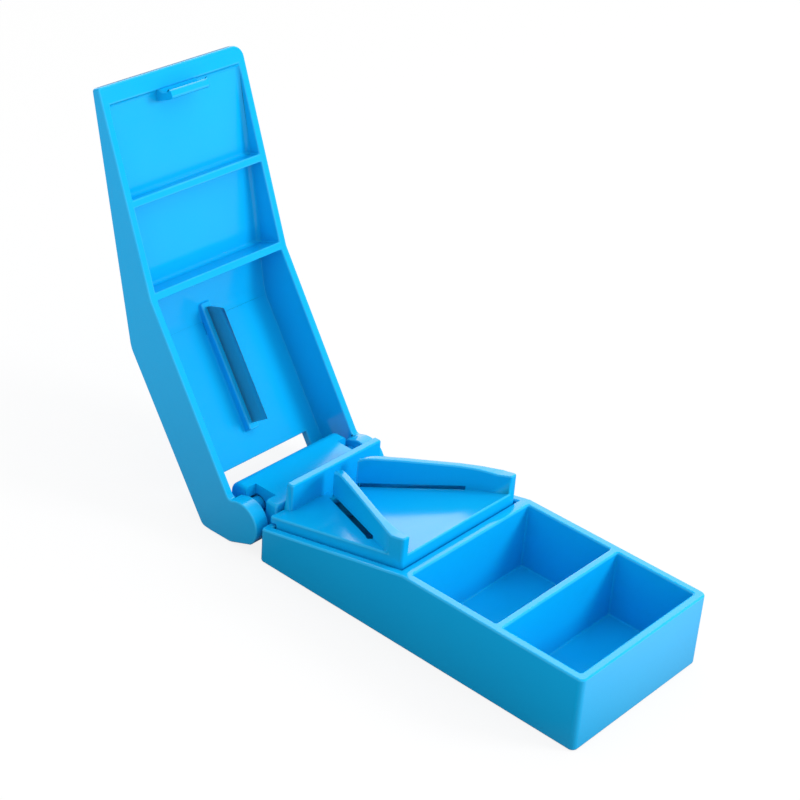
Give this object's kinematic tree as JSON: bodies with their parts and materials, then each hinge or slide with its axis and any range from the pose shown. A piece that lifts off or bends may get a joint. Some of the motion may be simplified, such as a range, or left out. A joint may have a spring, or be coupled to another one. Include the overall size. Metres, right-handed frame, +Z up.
{
  "type": "pill splitter",
  "caption": "Pocket tablet splitter: tray with two storage cells, V-shaped tablet cradle and a hinged wedge-shaped cover that carries the blade.",
  "frame": {"origin": "centre of the tray's flat underside, between its rear face and its front face", "axes": "+X from the hinge towards the storage cells, +Y across the tray and along the hinge axis, +Z up, away from the table"},
  "size_m": [0.1172, 0.0344, 0.0777],
  "materials": {
    "blue_plastic": "glossy injection-moulded polystyrene",
    "blade_steel": "ground stainless steel strip"
  },
  "bodies": {
    "base": {"base_tray": "blue_plastic", "pill_cradle": "blue_plastic"},
    "lid": {"cover": "blue_plastic", "cutting_blade": "blade_steel"}
  },
  "joints": [
    {"name": "cover_hinge", "type": "hinge", "parent": "base", "child": "lid", "pos_m": [-0.04305, 0, 0.00615], "axis": [0, 1, 0], "range_deg": [0, 110.6]}
  ]
}
